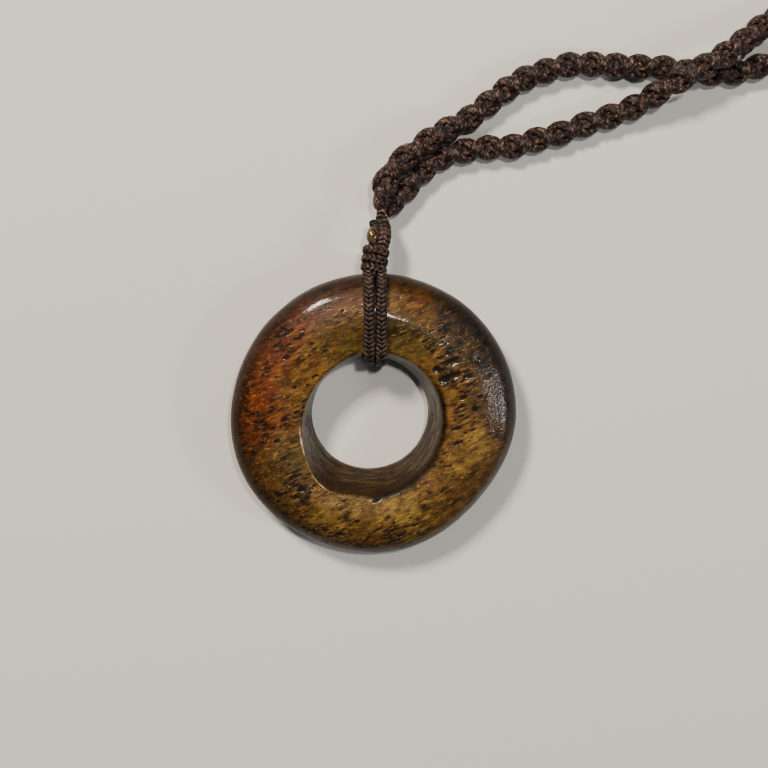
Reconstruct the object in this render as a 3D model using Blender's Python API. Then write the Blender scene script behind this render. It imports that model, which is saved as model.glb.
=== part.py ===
"""A stained bone ring on a plaited neck cord, lying on its back.

The ring hangs from a doubled cord that runs through its hole. A bound knot above the rim
joins that doubled cord to a plaited cord, which closes the loop worn round the neck.
Lengths are in metres, +Z is up, and the ring's middle stands over the origin.
"""

import math

import bmesh
import bpy
from mathutils import Matrix, Vector
from mathutils.geometry import convex_hull_2d

MM = 0.001

# Bone ring, seen across its thickness
RING_RADIUS = 23.7 * MM
RING_THICKNESS = 9.2 * MM
CREST_RADIUS = 17.2 * MM  # circle where the front face is highest
CREST_ROUND = 7.0 * MM
RIM_DROP = 2.2 * MM  # how far the front falls from its crest to the rim
RIM_ROUND_FRONT = 3.6 * MM
RIM_ROUND_BACK = 3.2 * MM
MOUTH_RADIUS = 12.0 * MM  # hole at the front
MOUTH_DROP = 0.7 * MM
MOUTH_ROUND = 1.2 * MM
WAIST_RADIUS = 9.6 * MM  # narrowest part of the hole
WAIST_HEIGHT = 1.8 * MM  # above the back face
WAIST_ROUND = 2.0 * MM
BACK_HOLE_RADIUS = 10.4 * MM
BACK_HOLE_ROUND = 0.6 * MM
RING_STEPS = 80
ARC_STEP = math.radians(19)

# Bone ring, seen from the front: it is shaped by hand and not quite round
HOLE_SHIFT = -0.8 * MM
RUBBED_DEPTH = 1.0 * MM  # rubbed flatter at the lower right
RUBBED_ANGLE = math.radians(-40)
RUBBED_SPREAD = math.radians(28)
SWELL_HEIGHT = 0.6 * MM  # left fuller at the lower left
SWELL_ANGLE = math.radians(205)
SWELL_SPREAD = math.radians(30)

# Doubled cord through the hole, pressed flat against the bone
BAIL_WIDTH = 1.8 * MM
BAIL_THICKNESS = 1.4 * MM
BAIL_SHIFT = 0.1 * MM
LEG_SPREAD = 2.3 * MM  # between its front and back legs where they meet the knot
BAIL_SIDES = 10

# Bound knot above the rim
KNOT_RIM_GAP = 1.7 * MM
WRAP_ROWS = 3
WRAP_PITCH = 1.35 * MM
WRAP_RADIUS = 2.25 * MM
WRAP_BULGE = 0.5 * MM
BARREL_LENGTH = 4.3 * MM
BARREL_RADIUS = 2.2 * MM
NECK_LENGTH = 1.1 * MM
NECK_RADIUS = 0.85 * MM
KNOT_LEAN = math.radians(8.8)  # to the right
KNOT_DROOP = math.radians(21)  # down from the ring's own plane
KNOT_STEPS = 20

# Plaited neck cord: x and y start from the knot's tip, z from the table
NECK_CORD_DIAMETER = 3.6 * MM
POINT_SPACING = 2 * NECK_CORD_DIAMETER
FIRST_PLAIT_ROUTE = (
    (-0.4, 1.0, 5.1),
    (0.3, 3.9, 4.6),
    (1.6, 6.2, 4.1),
    (3.6, 8.0, 3.9),
    (7.5, 10.8, 3.7),
    (10.6, 12.6, 3.0),
    (14.4, 14.5, 2.2),
    (17.4, 16.8, 2.0),
    (20.4, 19.1, 2.0),
    (23.4, 20.9, 2.0),
    (26.8, 22.1, 2.0),
    (30.6, 23.1, 2.0),
    (34.5, 23.2, 2.0),
    (38.4, 23.0, 2.0),
    (42.2, 22.8, 2.0),
    (46.3, 22.6, 2.0),
    (50.8, 21.9, 2.0),
    (55.7, 21.7, 2.0),
    (59.1, 22.0, 2.0),
    (63.8, 23.4, 2.0),
    (69.0, 24.4, 2.0),
    (74.3, 23.4, 2.0),
    (77.4, 21.2, 2.0),
)
SECOND_PLAIT_ROUTE = (
    (2.3, 0.5, 2.0),
    (4.1, 2.7, 2.0),
    (6.8, 5.6, 2.0),
    (9.8, 7.8, 2.0),
    (13.6, 9.1, 2.0),
    (17.5, 9.6, 2.0),
    (21.5, 9.8, 2.0),
    (25.4, 10.9, 2.0),
    (29.3, 11.9, 2.0),
    (33.4, 13.4, 2.0),
    (37.5, 14.7, 2.1),
    (41.3, 16.2, 2.7),
    (44.6, 18.2, 4.1),
    (48.3, 20.6, 5.8),
    (52.2, 22.8, 6.2),
    (55.6, 24.7, 5.8),
    (58.8, 26.8, 4.5),
    (63.4, 30.1, 2.7),
    (69.2, 33.4, 2.0),
    (75.2, 35.7, 2.0),
    (82.0, 36.8, 3.2),
    (86.4, 37.1, 4.3),
)

# Coil of the rest of the neck cord
COIL_CENTRE = (104.7, 14.5)
COIL_MEAN_RADIUS = 22.0 * MM
COIL_TURN_PITCH = 4.1 * MM
COIL_LAYERS = 2
COIL_TURNS_ACROSS = 2
COIL_STEPS = 48

# Space left between pieces that touch
PIECE_GAP = 0.3 * MM

SMOOTH_BELOW = math.radians(40)  # edges that turn more than this stay sharp
ROUTE_FINENESS = 12  # steps between two points of a route, before they are spaced evenly


def clear_scene():
    for old in list(bpy.data.objects):
        bpy.data.objects.remove(old, do_unlink=True)


def material(name, colour, roughness, metallic=0.0):
    made = bpy.data.materials.new(name)
    made.use_nodes = True
    shader = made.node_tree.nodes["Principled BSDF"]
    shader.inputs["Base Color"].default_value = (*colour, 1.0)
    shader.inputs["Roughness"].default_value = roughness
    shader.inputs["Metallic"].default_value = metallic
    return made


def add_object(name, data, finish, parent=None):
    made = bpy.data.objects.new(name, data)
    data.materials.append(finish)
    made.parent = parent
    bpy.context.scene.collection.objects.link(made)
    return made


def add_mesh_object(name, shape, finish, parent=None):
    """A smooth-shaded object from a bmesh, which is freed."""
    bmesh.ops.recalc_face_normals(shape, faces=shape.faces)
    mesh = bpy.data.meshes.new(name)
    shape.to_mesh(mesh)
    shape.free()
    mesh.shade_smooth()
    mesh.set_sharp_from_angle(angle=SMOOTH_BELOW)
    return add_object(name, mesh, finish, parent)


def rounded_outline(corners):
    """A closed convex outline with each corner (x, y, radius) rounded, as (point, outward normal)."""
    outline = []
    count = len(corners)
    for i, (x, y, radius) in enumerate(corners):
        here = Vector((x, y))
        to_last = Vector(corners[i - 1][:2]) - here
        to_next = Vector(corners[(i + 1) % count][:2]) - here
        turn = math.pi - to_last.angle(to_next)
        # A fillet takes less than half of the shorter wall beside it.
        tangent = min(radius * math.tan(turn / 2), 0.45 * min(to_last.length, to_next.length))
        radius = tangent / math.tan(turn / 2)
        inward = (to_last.normalized() + to_next.normalized()).normalized()
        centre = here + inward * radius / math.cos(turn / 2)
        start = (here + to_last.normalized() * tangent - centre).normalized()
        steps = max(1, round(turn / ARC_STEP))
        sense = 1 if to_last.cross(to_next) < 0 else -1
        for step in range(steps + 1):
            normal = Matrix.Rotation(sense * turn * step / steps, 2) @ start
            outline.append((centre + normal * radius, normal))
    return outline


def ring_section():
    """The ring's outline in (distance from the axis, height above mid-thickness)."""
    half = RING_THICKNESS / 2
    return rounded_outline(
        (
            (RING_RADIUS, -half, RIM_ROUND_BACK),
            (RING_RADIUS, half - RIM_DROP, RIM_ROUND_FRONT),
            (CREST_RADIUS, half, CREST_ROUND),
            (MOUTH_RADIUS, half - MOUTH_DROP, MOUTH_ROUND),
            (WAIST_RADIUS, WAIST_HEIGHT - half, WAIST_ROUND),
            (BACK_HOLE_RADIUS, -half, BACK_HOLE_ROUND),
        )
    )


def spin_outline(shape, points, axis, steps):
    """Turns a row of points round the axis through the origin into a closed skin."""
    verts = [shape.verts.new(p) for p in points]
    edges = [shape.edges.new(pair) for pair in zip(verts, verts[1:])]
    bmesh.ops.spin(
        shape,
        geom=verts + edges,
        cent=(0, 0, 0),
        axis=axis,
        angle=math.tau,
        steps=steps,
        use_merge=True,
    )
    bmesh.ops.remove_doubles(shape, verts=shape.verts, dist=1e-6)


def rim_share(radius):
    """0 at the hole's wall, rising to 1 at the rim."""
    share = (radius - MOUTH_RADIUS) / (RING_RADIUS - MOUTH_RADIUS)
    return min(max(share, 0.0), 1.0)


def hand_shape(vert):
    """Moves a point of the true ring to where the hand-shaped one has it."""
    radius = math.hypot(vert.co.x, vert.co.y)
    angle = math.atan2(vert.co.y, vert.co.x)
    share = rim_share(radius)
    out = 0.0
    for height, middle, spread in (
        (-RUBBED_DEPTH, RUBBED_ANGLE, RUBBED_SPREAD),
        (SWELL_HEIGHT, SWELL_ANGLE, SWELL_SPREAD),
    ):
        away = math.remainder(angle - middle, math.tau)
        out += height * math.exp(-((away / spread) ** 2))
    scale = 1 + out * share / radius
    vert.co.x = vert.co.x * scale + HOLE_SHIFT * (1 - share)
    vert.co.y *= scale


def make_ring(finish, rest):
    shape = bmesh.new()
    outline = [Vector((p.x, 0, p.y)) for p, _ in ring_section()]
    spin_outline(shape, outline + outline[:1], (0, 0, 1), RING_STEPS)
    for vert in shape.verts:
        hand_shape(vert)
    return add_mesh_object("bone_ring", shape, finish, rest)


def strand_places():
    """Each strand of the doubled cord with its x."""
    apart = (BAIL_WIDTH + PIECE_GAP) / 2
    return {
        "bail_strand_left": BAIL_SHIFT - apart,
        "bail_strand_right": BAIL_SHIFT + apart,
    }


def off_hole_middle(x):
    """How far a strand's outer edge is from the hole's own middle line."""
    return abs(x - HOLE_SHIFT) + BAIL_WIDTH / 2


def rest_tilt():
    """The ring lies on its lower back edge and on the cord under its upper half."""
    widest = max(off_hole_middle(x) for x in strand_places().values())
    cord_starts = math.sqrt((BACK_HOLE_RADIUS + BACK_HOLE_ROUND) ** 2 - widest**2)
    reach = RING_RADIUS - RIM_ROUND_BACK + cord_starts
    return math.asin((BAIL_THICKNESS + PIECE_GAP) / reach)


def rest_height(tilt):
    """How high the ring's middle then stands above the table."""
    edge = RING_RADIUS - RIM_ROUND_BACK
    return (
        edge * math.sin(tilt)
        + (RING_THICKNESS / 2 - RIM_ROUND_BACK) * math.cos(tilt)
        + RIM_ROUND_BACK
    )


def knot_foot():
    """Middle of the knot's lower end, in the ring's own frame."""
    return Vector((BAIL_SHIFT, RING_RADIUS + KNOT_RIM_GAP + PIECE_GAP, 0))


def knot_length():
    return WRAP_ROWS * WRAP_PITCH + BARREL_LENGTH + NECK_LENGTH


def bail_route(x):
    """A strand's middle line as (y, z) at this x, from the knot's front side round to its back."""
    away = BAIL_THICKNESS / 2 + PIECE_GAP
    round_bone = []
    for point, normal in ring_section():
        # The hole curves in under the strand's far edge.
        off_middle = off_hole_middle(x) * (1 - rim_share(point.x))
        wall = Vector((math.sqrt(point.x**2 - off_middle**2), point.y))
        round_bone.append(wall + normal * away)
    leg = LEG_SPREAD / 2
    front_end, back_end = (
        (knot_foot() + knot_turn() @ Vector((0, -away, side * leg))).yz for side in (1, -1)
    )
    points = round_bone + [front_end, back_end]
    hull = [points[i] for i in convex_hull_2d(points)]
    start = min(range(len(hull)), key=lambda i: (hull[i] - front_end).length)
    route = hull[start:] + hull[:start]
    if (route[1] - back_end).length < leg / 10:
        route = [route[0]] + route[:0:-1]
    return route


def make_bail_section():
    """The pressed cord's oval, which the two strands follow."""
    curve = bpy.data.curves.new("bail_section", "CURVE")
    curve.dimensions = "2D"
    spline = curve.splines.new("POLY")
    spline.points.add(BAIL_SIDES - 1)
    for i, point in enumerate(spline.points):
        angle = -math.tau * (i + 0.5) / BAIL_SIDES
        across = BAIL_WIDTH / 2 * math.cos(angle)
        through = BAIL_THICKNESS / 2 * math.sin(angle)
        point.co = (across, through, 0, 1)
    spline.use_cyclic_u = True
    guide = bpy.data.objects.new("bail_section", curve)
    bpy.context.scene.collection.objects.link(guide)
    guide.hide_render = True
    guide.display_type = "WIRE"
    return guide


def make_curve(name, points, finish, parent=None):
    """An open curve through the points, with closed ends."""
    curve = bpy.data.curves.new(name, "CURVE")
    curve.dimensions = "3D"
    curve.use_fill_caps = True
    spline = curve.splines.new("POLY")
    spline.points.add(len(points) - 1)
    for point, place in zip(spline.points, points):
        point.co = (*place, 1)
    spline.use_smooth = True
    return add_object(name, curve, finish, parent)


def make_bail(finish, rest):
    section = make_bail_section()
    for name, x in strand_places().items():
        strand = make_curve(name, [(x, p.x, p.y) for p in bail_route(x)], finish, rest)
        strand.data.twist_mode = "MINIMUM"
        strand.data.bevel_mode = "OBJECT"
        strand.data.bevel_object = section


def knot_outline():
    """The knot's side as (distance along it, radius): wound rows, barrel, shoulder and neck."""
    core = WRAP_RADIUS - WRAP_BULGE
    rows = [(0.0, core)]
    for row in range(WRAP_ROWS):
        for step in range(1, 5):
            turn = math.pi * (step / 4 - 0.5)
            along = (row + 0.5 + 0.5 * math.sin(turn)) * WRAP_PITCH
            rows.append((along, core + WRAP_BULGE * math.cos(turn)))
    barrel_start = WRAP_ROWS * WRAP_PITCH
    for step in range(1, 6):
        share = step / 8
        radius = core + (BARREL_RADIUS - core) * math.sin(math.pi * share)
        rows.append((barrel_start + BARREL_LENGTH * share, radius))
    shoulder_start, shoulder_radius = rows[-1]
    barrel_end = barrel_start + BARREL_LENGTH
    for step in range(1, 4):
        turn = math.pi / 2 * step / 3
        along = shoulder_start + (barrel_end - shoulder_start) * math.sin(turn)
        rows.append((along, NECK_RADIUS + (shoulder_radius - NECK_RADIUS) * math.cos(turn)))
    rows.append((barrel_end + NECK_LENGTH, NECK_RADIUS))
    return rows


def knot_turn():
    """Turns the knot's own +Y from straight up the picture to its lean and droop."""
    return Matrix.Rotation(-KNOT_LEAN, 4, "Z") @ Matrix.Rotation(-KNOT_DROOP, 4, "X")


def make_knot(finish, rest):
    shape = bmesh.new()
    outline = [Vector((radius, along, 0)) for along, radius in knot_outline()]
    outline.insert(0, Vector((0, 0, 0)))
    outline.append(Vector((0, knot_length(), 0)))
    spin_outline(shape, outline, (0, 1, 0), KNOT_STEPS)
    knot = add_mesh_object("binding_knot", shape, finish, rest)
    knot.matrix_local = Matrix.Translation(knot_foot()) @ knot_turn()
    return knot


def knot_tip(tilt):
    """Where the neck cord leaves the knot, in world places."""
    own = knot_foot() + knot_turn() @ Vector((0, knot_length(), 0))
    turned = Matrix.Rotation(tilt, 3, "X") @ own
    return turned + Vector((0, 0, rest_height(tilt)))


def smooth_points(points, spacing):
    """Points an even distance apart on one smooth curve through all the given ones."""
    fine = []
    last = len(points) - 1
    for i in range(last):
        p0, p1, p2, p3 = (points[min(max(i + k, 0), last)] for k in (-1, 0, 1, 2))
        for step in range(ROUTE_FINENESS):
            t = step / ROUTE_FINENESS
            fine.append(
                0.5 * (2 * p1 + (p2 - p0) * t)
                + 0.5 * (2 * p0 - 5 * p1 + 4 * p2 - p3) * t**2
                + 0.5 * (3 * p1 - p0 - 3 * p2 + p3) * t**3
            )
    fine.append(points[-1])
    lengths = [(b - a).length for a, b in zip(fine, fine[1:])]
    count = max(2, round(sum(lengths) / spacing))
    even = [fine[0]]
    walked, i = 0.0, 0
    for k in range(1, count):
        goal = sum(lengths) * k / count
        while walked + lengths[i] < goal:
            walked += lengths[i]
            i += 1
        even.append(fine[i].lerp(fine[i + 1], (goal - walked) / lengths[i]))
    return even + [fine[-1]]


def make_plait(name, route, tip, finish):
    points = [Vector((tip.x + x * MM, tip.y + y * MM, z * MM)) for x, y, z in route]
    plait = make_curve(name, smooth_points(points, POINT_SPACING), finish)
    plait.data.bevel_depth = NECK_CORD_DIAMETER / 2
    plait.data.bevel_resolution = 2
    return plait


def make_coil(tip, finish):
    """The outer shape of the wound cord, standing on the table."""
    half_width = COIL_TURNS_ACROSS * COIL_TURN_PITCH / 2
    height = COIL_LAYERS * COIL_TURN_PITCH
    corner = COIL_TURN_PITCH / 2
    inner, outer = COIL_MEAN_RADIUS - half_width, COIL_MEAN_RADIUS + half_width
    section = rounded_outline(
        ((outer, 0, corner), (outer, height, corner), (inner, height, corner), (inner, 0, corner))
    )
    shape = bmesh.new()
    outline = [Vector((p.x, 0, p.y)) for p, _ in section]
    spin_outline(shape, outline + outline[:1], (0, 0, 1), COIL_STEPS)
    coil = add_mesh_object("neck_cord_coil", shape, finish)
    coil.location = (tip.x + COIL_CENTRE[0] * MM, tip.y + COIL_CENTRE[1] * MM, 0)
    return coil


def main():
    clear_scene()
    bone = material("polished_stained_bone", (0.30, 0.13, 0.03), 0.28)
    cord = material("braided_nylon_cord", (0.035, 0.022, 0.018), 0.55)
    tilt = rest_tilt()
    rest = bpy.data.objects.new("ring_at_rest", None)
    rest.rotation_euler.x = tilt
    rest.location.z = rest_height(tilt)
    bpy.context.scene.collection.objects.link(rest)
    make_ring(bone, rest)
    make_bail(cord, rest)
    make_knot(cord, rest)
    tip = knot_tip(tilt)
    make_plait("neck_cord_first_plait", FIRST_PLAIT_ROUTE, tip, cord)
    make_plait("neck_cord_second_plait", SECOND_PLAIT_ROUTE, tip, cord)
    make_coil(tip, cord)


main()
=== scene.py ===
"""A stained bone ring on a plaited neck cord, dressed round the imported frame.

The ring, the doubled cord through its hole, the bound knot and the neck cord lie as the
frame has them. Lengths are in metres, +Z is up, and the ring's middle stands over the origin.
"""

import logging
import math
from dataclasses import dataclass
from dataclasses import field
from enum import Enum
from typing import Callable
from typing import Sequence

import bmesh
import bpy
from mathutils import Matrix
from mathutils import Vector
from mathutils import noise
from mathutils.geometry import convex_hull_2d


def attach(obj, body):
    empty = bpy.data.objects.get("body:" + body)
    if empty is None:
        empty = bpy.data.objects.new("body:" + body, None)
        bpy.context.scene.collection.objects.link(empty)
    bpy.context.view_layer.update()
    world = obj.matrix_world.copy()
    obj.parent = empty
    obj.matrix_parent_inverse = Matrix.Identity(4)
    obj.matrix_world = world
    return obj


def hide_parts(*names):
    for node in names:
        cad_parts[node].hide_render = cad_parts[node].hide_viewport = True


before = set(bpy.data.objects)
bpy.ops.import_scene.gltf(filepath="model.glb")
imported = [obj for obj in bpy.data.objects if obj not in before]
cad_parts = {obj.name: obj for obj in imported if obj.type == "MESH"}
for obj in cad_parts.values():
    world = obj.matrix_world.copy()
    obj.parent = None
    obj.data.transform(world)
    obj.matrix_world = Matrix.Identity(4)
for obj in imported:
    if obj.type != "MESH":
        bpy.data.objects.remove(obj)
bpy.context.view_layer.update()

LOG = logging.getLogger("bone_ring_toggle")

MM = 0.001

# How the ring lies: it leans on the cord under its back, and its middle is this high
REST_TILT = math.radians(3.13103)
REST_HEIGHT = 5.7176 * MM

# Steps round each corner of the ring's section, and along the straight side after it
ARC_STEPS = (14, 18, 16, 8, 8, 5)
SIDE_STEPS = (14, 12, 14, 22, 8, 30)

# The first and last points of the section's turn into the hole
MOUTH_ARC = (
    sum(ARC_STEPS[:3]) + sum(SIDE_STEPS[:3]),
    sum(ARC_STEPS[:4]) + sum(SIDE_STEPS[:3]),
)

# The first and last points of its turn out of the hole onto the back
BACK_ARC = (
    sum(ARC_STEPS[:5]) + sum(SIDE_STEPS[:5]),
    sum(ARC_STEPS) + sum(SIDE_STEPS[:5]),
)

# Where the neck cord leaves the knot
KNOT_TIP = Vector((1.4, 34.6, 4.2)) * MM

# The stitches of a braided strand: the length of one, and how many columns go round it
STITCH_PITCH = 0.7 * MM
STITCH_COLUMNS = 6

# Vectors for shaders: the middle of a noise's range, and what leaves a height out
HALF = (0.5, 0.5, 0.5)
FLAT = (1, 1, 0)

# About how high the ring's front is over the floor, in millimetres
FRONT_HEIGHT = 9.5

# What comes out of a node, and what goes into one
Socket = bpy.types.NodeSocket
Value = Socket | float | tuple[float, ...]


def linear_colour(code: str) -> tuple[float, float, float, float]:
    """Turns an sRGB hex colour to the linear one that shaders take.

    Args:
        code: Six hex digits, such as "7a4a1e".

    Returns:
        Red, green, blue and an alpha of 1.
    """
    shares = [int(code[i : i + 2], 16) / 255 for i in (0, 2, 4)]
    linear = [s / 12.92 if s <= 0.04045 else ((s + 0.055) / 1.055) ** 2.4 for s in shares]
    return (*linear, 1.0)


def add_node(
    tree: bpy.types.NodeTree,
    kind: str,
    inputs: dict | None = None,
    **settings: object,
) -> bpy.types.Node:
    """Adds a node with its settings and what goes into it.

    Args:
        tree: The node tree that the node joins.
        kind: The node's type.
        inputs: For each input's name or number, the socket linked to it or its plain value.
        **settings: The node's own properties.

    Returns:
        The new node.
    """
    node = tree.nodes.new(kind)
    for name, value in settings.items():
        setattr(node, name, value)
    for place, value in (inputs or {}).items():
        if isinstance(value, bpy.types.NodeSocket):
            tree.links.new(value, node.inputs[place])
        else:
            node.inputs[place].default_value = value
    return node


@dataclass(frozen=True)
class Nodes:
    """A material and its node tree, with a method for each kind of node that a finish uses.

    Each method adds one node and gives the socket that the next node takes. A value is a
    socket, or a plain number, vector or colour.
    """

    material: bpy.types.Material

    @classmethod
    def named(cls, name: str) -> "Nodes":
        """Starts a material that has no nodes yet."""
        material = bpy.data.materials.new(name)
        material.use_nodes = True
        material.node_tree.nodes.clear()
        return cls(material)

    def add(self, kind: str, inputs: dict, **settings: object) -> bpy.types.Node:
        """Adds a shader node to the tree."""
        return add_node(self.material.node_tree, f"ShaderNode{kind}", inputs, **settings)

    def places(self) -> tuple[Socket, Socket]:
        """The place on the piece in millimetres from the row's origin, and its UV map."""
        outputs = self.add("TexCoord", {}).outputs
        return self.mapped(outputs["Object"], Scale=(1 / MM, 1 / MM, 1 / MM)), outputs["UV"]

    def mapped(self, place: Value, **settings: tuple[float, float, float]) -> Socket:
        """A place that is moved, turned or scaled."""
        return self.add("Mapping", {0: place, **settings}).outputs[0]

    def axes(self, vector: Value) -> tuple[Socket, ...]:
        """A vector's three parts."""
        return tuple(self.add("SeparateXYZ", {0: vector}).outputs)

    def joined(self, *parts: Value) -> Socket:
        """A vector made of its three parts."""
        return self.add("CombineXYZ", dict(enumerate(parts))).outputs[0]

    def noise(self, place: Value, **settings: float) -> Socket:
        """A noise pattern's value."""
        return self.add("TexNoise", {0: place, **settings}).outputs[0]

    def maths(self, operation: str, *values: Value) -> Socket:
        """A number worked out from numbers."""
        return self.add("Math", dict(enumerate(values)), operation=operation).outputs[0]

    def times(self, first: Value, second: Value) -> Socket:
        """The product of two numbers."""
        return self.maths("MULTIPLY", first, second)

    def vector(self, operation: str, *values: Value) -> Socket:
        """A vector worked out from vectors."""
        return self.add("VectorMath", dict(enumerate(values)), operation=operation).outputs[0]

    def measure(self, operation: str, *values: Value) -> Socket:
        """A number worked out from vectors, such as a length."""
        node = self.add("VectorMath", dict(enumerate(values)), operation=operation)
        return node.outputs["Value"]

    def shaded(self, colour: Value, share: Value) -> Socket:
        """A colour made darker or lighter."""
        inputs = {0: colour, "Scale": share}
        return self.add("VectorMath", inputs, operation="SCALE").outputs[0]

    def between(self, share: Value, first: Value, second: Value) -> Socket:
        """A number that goes from the first to the second as the share goes from 0 to 1."""
        inputs = {0: share, 2: first, 3: second}
        return self.add("Mix", inputs, data_type="FLOAT").outputs[0]

    def toned(self, colour: Value, cover: Value, tone: Value) -> Socket:
        """A colour with a tone laid over it as far as the cover says."""
        inputs = {0: cover, 6: colour, 7: tone}
        return self.add("Mix", inputs, data_type="RGBA").outputs[2]

    def ramp(
        self,
        value: Value,
        span: tuple[float, float],
        result: tuple[Value, Value] = (0.0, 1.0),
        soft: bool = False,
    ) -> Socket:
        """Turns a number's span into another, and holds it at the ends.

        Args:
            value: The number.
            span: Where the result starts to change and where it stops.
            result: The result at those two.
            soft: Whether the change starts and stops softly.

        Returns:
            The result.
        """
        return self.add(
            "MapRange",
            {0: value, 1: span[0], 2: span[1], 3: result[0], 4: result[1]},
            interpolation_type="SMOOTHSTEP" if soft else "LINEAR",
        ).outputs[0]

    def bump(self, height: Value, strength: float, depth: float) -> Socket:
        """The surface's direction where a height in shares of the depth roughens it."""
        inputs = {"Strength": strength, "Distance": depth, "Height": height}
        return self.add("Bump", inputs).outputs[0]

    def finished(self, inputs: dict[str, Value]) -> bpy.types.Material:
        """Adds the shader and ends the material."""
        shader = self.add("BsdfPrincipled", inputs)
        self.add("OutputMaterial", {0: shader.outputs[0]})
        return self.material


def smooth_step(share: float) -> float:
    """0 up to 0, 1 from 1 on, with a soft start and end between."""
    share = min(max(share, 0.0), 1.0)
    return share * share * (3 - 2 * share)


def ring_place() -> Matrix:
    """The turn and lift from the ring's own frame to where it lies."""
    return Matrix.Translation((0, 0, REST_HEIGHT)) @ Matrix.Rotation(REST_TILT, 4, "X")


def finish_piece(
    name: str,
    shape: bmesh.types.BMesh,
    finish: bpy.types.Material,
    replaced: Sequence[str] = (),
) -> bpy.types.Object:
    """Makes a shape into a smooth piece that rides with the part.

    Args:
        name: The piece's name.
        shape: Its mesh, in the row frame. It is freed.
        finish: Its material.
        replaced: The CAD nodes that it stands for.

    Returns:
        The new object.
    """
    mesh = bpy.data.meshes.new(name)
    shape.to_mesh(mesh)
    shape.free()
    mesh.shade_smooth()
    mesh.materials.append(finish)
    piece = bpy.data.objects.new(name, mesh)
    bpy.context.scene.collection.objects.link(piece)
    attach(piece, "root")
    if replaced:
        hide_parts(*replaced)
    LOG.info("%s: %d faces", name, len(mesh.polygons))
    return piece


def walked_along(points: Sequence[Vector]) -> list[float]:
    """How far along a chain of points each of them is."""
    walked = [0.0]
    for a, b in zip(points, points[1:]):
        walked.append(walked[-1] + (b - a).length)
    return walked


def evened(points: Sequence[Vector], count: int) -> list[Vector]:
    """Places at even distances along a chain of points.

    Args:
        points: The chain.
        count: How many steps it is cut into.

    Returns:
        The places, from the first point to the last.
    """
    walked = walked_along(points)
    even = []
    i = 0
    for k in range(count):
        goal = walked[-1] * k / count
        while walked[i + 1] < goal:
            i += 1
        share = (goal - walked[i]) / (walked[i + 1] - walked[i])
        even.append(points[i].lerp(points[i + 1], share))
    return even + [points[-1]]


@dataclass(frozen=True)
class Way:
    """A smooth line with evenly spaced points.

    Args:
        points: The points along it.
        marks: How far along it each of the points that it was drawn through is.
        spacing: The distance from one point to the next.
    """

    points: tuple[Vector, ...]
    marks: tuple[float, ...]
    spacing: float

    @property
    def length(self) -> float:
        """The line's whole length."""
        return self.spacing * (len(self.points) - 1)

    @classmethod
    def through(cls, drawn: Sequence[Vector], spacing: float, fineness: int = 12) -> "Way":
        """Draws a smooth line through points.

        Args:
            drawn: The points that it passes through.
            spacing: The distance wanted between its own points.
            fineness: Steps between two drawn points before the line is spaced evenly.

        Returns:
            The line, with the given points' places along it as marks.
        """
        last = len(drawn) - 1
        fine = []
        for i in range(last):
            p0, p1, p2, p3 = (drawn[min(max(i + k, 0), last)] for k in (-1, 0, 1, 2))
            for step in range(fineness):
                t = step / fineness
                fine.append(
                    0.5 * (2 * p1 + (p2 - p0) * t)
                    + 0.5 * (2 * p0 - 5 * p1 + 4 * p2 - p3) * t**2
                    + 0.5 * (3 * p1 - p0 - 3 * p2 + p3) * t**3
                )
        fine.append(drawn[-1])
        walked = walked_along(fine)
        count = max(2, round(walked[-1] / spacing))
        return cls(tuple(evened(fine, count)), tuple(walked[::fineness]), walked[-1] / count)

    def heading(self, i: int) -> Vector:
        """The direction of the line at its point i."""
        ahead = self.points[min(i + 1, len(self.points) - 1)]
        return (ahead - self.points[max(i - 1, 0)]).normalized()

    def at(self, along: float) -> tuple[Vector, Vector]:
        """The place and direction this far along the line.

        Args:
            along: Distance from the line's start.

        Returns:
            The place, and the direction as a unit vector.
        """
        steps = min(max(along / self.spacing, 0.0), len(self.points) - 1.001)
        i = int(steps)
        place = self.points[i].lerp(self.points[i + 1], steps - i)
        return place, self.heading(i).lerp(self.heading(i + 1), steps - i).normalized()


def add_tube(
    shape: bmesh.types.BMesh,
    stations: Sequence[float],
    sides: int,
    surface: Callable[[float, float], Vector],
) -> None:
    """Adds a closed tube, with the share of its girth and millimetres along it as its UV map.

    Args:
        shape: The mesh that the tube joins, with a UV layer.
        stations: How far along the tube each of its rings is, in metres.
        sides: The number of faces round it.
        surface: Gives the place for a distance along and an angle round the tube.
    """
    rings = len(stations)
    made = bmesh.ops.create_grid(
        shape, x_segments=sides, y_segments=rings - 1, size=0.5, calc_uvs=True
    )
    layer = shape.loops.layers.uv.active
    verts = made["verts"]
    faces = {face for vert in verts for face in vert.link_faces}
    for face in faces:
        for loop in face.loops:
            place = loop[layer].uv
            place.y = stations[round(place.y * (rings - 1))] / MM
    for n, vert in enumerate(verts):
        j, i = divmod(n, sides + 1)
        vert.co = surface(stations[j], math.tau * (i % sides) / sides)
    bmesh.ops.remove_doubles(shape, verts=verts, dist=1e-9)
    whole = [vert for vert in verts if vert.is_valid]
    rims = {edge for vert in whole for edge in vert.link_edges if edge.is_boundary}
    bmesh.ops.holes_fill(shape, edges=list(rims), sides=0)


def new_tubes() -> bmesh.types.BMesh:
    """An empty mesh with the UV layer that tubes need."""
    shape = bmesh.new()
    shape.loops.layers.uv.new("along")
    return shape


@dataclass(frozen=True)
class StainPatch:
    """A patch of one tone in the bone's stain.

    Args:
        x: Its middle to the right of the ring's middle, in millimetres.
        y: Its middle above the ring's middle, in millimetres.
        reach: How far it spreads, in millimetres.
        tone: Its sRGB colour.
        strength: How far it covers what is under it at its middle.
    """

    x: float
    y: float
    reach: float
    tone: str
    strength: float


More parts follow.
